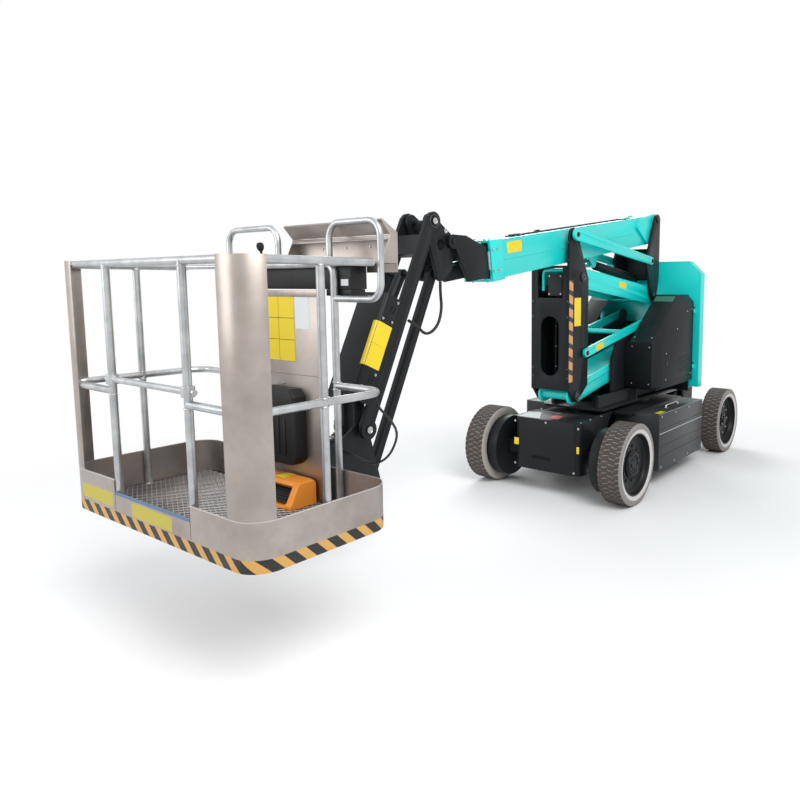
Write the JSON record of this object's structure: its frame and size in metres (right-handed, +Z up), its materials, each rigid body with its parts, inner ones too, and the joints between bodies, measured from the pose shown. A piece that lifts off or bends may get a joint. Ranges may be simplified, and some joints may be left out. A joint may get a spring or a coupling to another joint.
{
  "type": "articulating boom lift",
  "caption": "battery-driven articulating boom lift with slewing turret, folding tower, telescopic boom, jib and railed platform, stowed",
  "frame": {"origin": "centre of the bounding box on the floor plane under the tyres", "axes": "+X from the chassis towards the platform, +Y to the left seen from the chassis looking at the platform, +Z up"},
  "size_m": [5.6342, 1.462, 2.2974],
  "materials": {
    "turquoise_paint": "bright turquoise gloss paint",
    "charcoal_paint": "charcoal satin paint",
    "hood_plastic": "dark charcoal moulded hood",
    "black_plastic": "black textured plastic",
    "tyre": "grey-brown solid rubber",
    "rim_paint": "dark grey satin paint",
    "battery_steel": "grey metallic paint",
    "galvanised": "dull galvanised steel",
    "sheet": "brushed sheet",
    "chromed": "polished hard chrome",
    "plated": "zinc plated steel",
    "orange_plastic": "orange plastic",
    "hose": "black hose"
  },
  "bodies": {
    "chassis": {"chassis_frame": "charcoal_paint", "front_cover": "charcoal_paint", "rear_cover": "charcoal_paint", "battery_box_left": "battery_steel", "battery_box_right": "battery_steel", "drive_axle": "charcoal_paint", "steer_axle": "charcoal_paint"},
    "turret": {"turret_frame": "charcoal_paint", "counterweight": "turquoise_paint", "power_unit_left": "black_plastic", "power_unit_right": "black_plastic"},
    "hood_left": {"hood_left": "hood_plastic"},
    "hood_right": {"hood_right": "hood_plastic"},
    "lower_arm": {"lower_arm": "turquoise_paint"},
    "lower_link": {"lower_link": "turquoise_paint"},
    "column": {"column": "charcoal_paint"},
    "upper_arm": {"upper_arm": "turquoise_paint"},
    "upper_link_left": {"upper_link_left": "turquoise_paint"},
    "upper_link_right": {"upper_link_right": "turquoise_paint"},
    "rear_upright": {"rear_upright": "charcoal_paint"},
    "tower_barrel": {"tower_cylinder": "charcoal_paint"},
    "tower_rod_body": {"tower_rod": "chromed"},
    "boom_barrel": {"boom_cylinder": "charcoal_paint"},
    "boom_rod_body": {"boom_rod": "chromed"},
    "main_boom": {"main_boom": "turquoise_paint"},
    "fly_boom": {"fly_boom": "charcoal_paint"},
    "level_barrel": {"level_cylinder": "charcoal_paint"},
    "level_rod_body": {"level_rod": "chromed"},
    "knuckle": {"knuckle": "charcoal_paint", "upper_hose": "hose"},
    "jib_arm": {"jib_arm": "charcoal_paint", "jib_cover": "hood_plastic"},
    "jib_link": {"jib_link": "charcoal_paint"},
    "jib_end": {"jib_end": "charcoal_paint", "platform_cable": "hose"},
    "jib_barrel": {"jib_cylinder": "charcoal_paint"},
    "jib_rod_body": {"jib_rod": "chromed"},
    "platform": {"platform_mount": "charcoal_paint", "platform_floor": "sheet", "platform_rails": "galvanised", "corner_sheet_left": "sheet", "corner_sheet_right": "sheet", "rear_panel": "sheet", "control_console": "black_plastic", "console_hood": "sheet", "power_box": "black_plastic", "document_box": "black_plastic", "foot_switch": "orange_plastic"},
    "drop_bar": {"drop_bar": "galvanised"},
    "tie_rod": {"tie_rod": "plated"},
    "steer_knuckle_left": {"steer_knuckle_left": "charcoal_paint"},
    "steer_knuckle_right": {"steer_knuckle_right": "charcoal_paint"},
    "wheel_front_left": {"tyre_front_left": "tyre", "rim_front_left": "rim_paint"},
    "wheel_front_right": {"tyre_front_right": "tyre", "rim_front_right": "rim_paint"},
    "wheel_rear_left": {"tyre_rear_left": "tyre", "rim_rear_left": "rim_paint"},
    "wheel_rear_right": {"tyre_rear_right": "tyre", "rim_rear_right": "rim_paint"}
  },
  "joints": [
    {"name": "turret_slew", "type": "hinge", "parent": "chassis", "child": "turret", "pos_m": [-1.47175, 0, 0], "axis": [0, 0, 1], "range_deg": [-175, 175]},
    {"name": "tower_lift", "type": "hinge", "parent": "turret", "child": "lower_arm", "pos_m": [-1.81175, 0, 1.03], "axis": [0, -1, 0], "range_deg": [0, 75]},
    {"name": "lower_link_pivot", "type": "hinge", "parent": "turret", "child": "lower_link", "pos_m": [-1.92175, 0, 1.361], "axis": [0, -1, 0], "range_deg": [-0.01, 75.05]},
    {"name": "column_pivot", "type": "hinge", "parent": "lower_arm", "child": "column", "pos_m": [-0.44175, 0, 0.78], "axis": [0, -1, 0], "range_deg": [-75.05, 0.01]},
    {"name": "upper_arm_pivot", "type": "hinge", "parent": "column", "child": "upper_arm", "pos_m": [-0.52675, 0, 1.705], "axis": [0, -1, 0], "range_deg": [-75.05, 0.01]},
    {"name": "upper_link_left_pivot", "type": "hinge", "parent": "column", "child": "upper_link_left", "pos_m": [-0.38875, 0, 2.022], "axis": [0, -1, 0], "range_deg": [-75.05, 0.01]},
    {"name": "upper_link_right_pivot", "type": "hinge", "parent": "column", "child": "upper_link_right", "pos_m": [-0.38875, 0, 2.022], "axis": [0, -1, 0], "range_deg": [-75.05, 0.01]},
    {"name": "rear_upright_pivot", "type": "hinge", "parent": "upper_arm", "child": "rear_upright", "pos_m": [-1.88175, 0, 1.541], "axis": [0, -1, 0], "range_deg": [-0.01, 75.05]},
    {"name": "tower_barrel_swing", "type": "hinge", "parent": "turret", "child": "tower_barrel", "pos_m": [-0.99775, 0, 0.7], "axis": [0, -1, 0], "range_deg": [-14.63, 0]},
    {"name": "tower_rod_slide", "type": "slide", "parent": "tower_barrel", "child": "tower_rod_body", "axis": [-0.8692, 0, 0.4945], "range_m": [0, 0.3869]},
    {"name": "boom_lift", "type": "hinge", "parent": "rear_upright", "child": "main_boom", "pos_m": [-1.93175, 0, 2.24], "axis": [0, -1, 0], "range_deg": [0, 75]},
    {"name": "boom_barrel_swing", "type": "hinge", "parent": "rear_upright", "child": "boom_barrel", "pos_m": [-1.80175, 0, 1.7], "axis": [0, -1, 0], "range_deg": [0, 61.39]},
    {"name": "boom_rod_slide", "type": "slide", "parent": "boom_barrel", "child": "boom_rod_body", "axis": [0.9908, 0, 0.1351], "range_m": [0, 0.61827]},
    {"name": "telescope", "type": "slide", "parent": "main_boom", "child": "fly_boom", "axis": [0.9903, 0, -0.1392], "range_m": [0, 1]},
    {"name": "knuckle_level", "type": "hinge", "parent": "fly_boom", "child": "knuckle", "pos_m": [0.94825, 0, 1.91], "axis": [0, -1, 0], "range_deg": [-75.05, 0.01]},
    {"name": "level_barrel_swing", "type": "hinge", "parent": "fly_boom", "child": "level_barrel", "pos_m": [0.18894, 0, 1.8955], "axis": [0, -1, 0], "range_deg": [0, 6.01]},
    {"name": "level_rod_slide", "type": "slide", "parent": "level_barrel", "child": "level_rod_body", "axis": [0.9846, 0, -0.175], "range_m": [-0.17372, 0]},
    {"name": "jib_lift", "type": "hinge", "parent": "knuckle", "child": "jib_arm", "pos_m": [1.12825, 0, 2.02], "axis": [0, -1, 0], "range_deg": [0, 120], "deforming": ["upper_hose"]},
    {"name": "jib_link_pivot", "type": "hinge", "parent": "knuckle", "child": "jib_link", "pos_m": [1.03825, 0, 1.71], "axis": [0, -1, 0], "range_deg": [-0.01, 120.05]},
    {"name": "jib_end_pivot", "type": "hinge", "parent": "jib_arm", "child": "jib_end", "pos_m": [1.675, 0, 0.87372], "axis": [0, -1, 0], "range_deg": [-120.05, 0.01]},
    {"name": "jib_barrel_swing", "type": "hinge", "parent": "jib_arm", "child": "jib_barrel", "pos_m": [1.29698, 0, 1.7127], "axis": [0, -1, 0], "range_deg": [-1.37, 0]},
    {"name": "jib_rod_slide", "type": "slide", "parent": "jib_barrel", "child": "jib_rod_body", "axis": [0.5046, 0, -0.8633], "range_m": [0, 0.2942]},
    {"name": "platform_swing", "type": "hinge", "parent": "jib_end", "child": "platform", "pos_m": [1.88825, 0, 0], "axis": [0, 0, 1], "range_deg": [-90, 90], "deforming": ["platform_cable"]},
    {"name": "drop_bar_lift", "type": "slide", "parent": "platform", "child": "drop_bar", "axis": [0, 0, 1], "range_m": [0, 0.4]},
    {"name": "hood_left_hinge", "type": "hinge", "parent": "turret", "child": "hood_left", "pos_m": [-2.07475, 0.49, 0], "axis": [0, 0, 1], "range_deg": [0, 90]},
    {"name": "hood_right_hinge", "type": "hinge", "parent": "turret", "child": "hood_right", "pos_m": [-2.07475, -0.49, 0], "axis": [0, 0, -1], "range_deg": [0, 90]},
    {"name": "wheel_front_left_spin", "type": "hinge", "parent": "chassis", "child": "wheel_front_left", "pos_m": [-0.44025, 0.614, 0.311], "axis": [0, 1, 0], "continuous": true},
    {"name": "wheel_front_right_spin", "type": "hinge", "parent": "chassis", "child": "wheel_front_right", "pos_m": [-0.44025, -0.614, 0.311], "axis": [0, 1, 0], "continuous": true},
    {"name": "wheel_rear_left_spin", "type": "hinge", "parent": "steer_knuckle_left", "child": "wheel_rear_left", "pos_m": [-2.50325, 0.614, 0.311], "axis": [0, 1, 0], "continuous": true},
    {"name": "wheel_rear_right_spin", "type": "hinge", "parent": "steer_knuckle_right", "child": "wheel_rear_right", "pos_m": [-2.50325, -0.614, 0.311], "axis": [0, 1, 0], "continuous": true},
    {"name": "steer_left", "type": "hinge", "parent": "chassis", "child": "steer_knuckle_left", "pos_m": [-2.50325, 0.545, 0.311], "axis": [0, 0, 1], "range_deg": [-35, 35]},
    {"name": "steer_right", "type": "hinge", "parent": "chassis", "child": "steer_knuckle_right", "pos_m": [-2.50325, -0.545, 0.311], "axis": [0, 0, 1], "range_deg": [-35.05, 35.05]},
    {"name": "tie_rod_slide", "type": "slide", "parent": "chassis", "child": "tie_rod", "axis": [0, 1, 0], "range_m": [-0.06359, 0.06359]}
  ],
  "couplings": [
    {"joint": "lower_link_pivot", "follows": "tower_lift", "ratio": 1},
    {"joint": "column_pivot", "follows": "tower_lift", "ratio": -1},
    {"joint": "upper_arm_pivot", "follows": "tower_lift", "ratio": -1},
    {"joint": "upper_link_left_pivot", "follows": "tower_lift", "ratio": -1},
    {"joint": "upper_link_right_pivot", "follows": "tower_lift", "ratio": -1},
    {"joint": "rear_upright_pivot", "follows": "tower_lift", "ratio": 1},
    {"joint": "tower_barrel_swing", "follows": "tower_lift", "ratio": -0.19443},
    {"joint": "tower_rod_slide", "follows": "tower_lift", "m_per_rad": 0.29519},
    {"joint": "boom_barrel_swing", "follows": "boom_lift", "ratio": 0.81786},
    {"joint": "boom_rod_slide", "follows": "boom_lift", "m_per_rad": 0.47194},
    {"joint": "knuckle_level", "follows": "boom_lift", "ratio": -1},
    {"joint": "level_barrel_swing", "follows": "boom_lift", "ratio": 0.079437},
    {"joint": "level_rod_slide", "follows": "boom_lift", "m_per_rad": -0.13233},
    {"joint": "jib_link_pivot", "follows": "jib_lift", "ratio": 1},
    {"joint": "jib_end_pivot", "follows": "jib_lift", "ratio": -1},
    {"joint": "jib_barrel_swing", "follows": "jib_lift", "ratio": -0.011022},
    {"joint": "jib_rod_slide", "follows": "jib_lift", "m_per_rad": 0.14023},
    {"joint": "steer_right", "follows": "steer_left", "ratio": 1},
    {"joint": "tie_rod_slide", "follows": "steer_left", "m_per_rad": 0.10329}
  ]
}
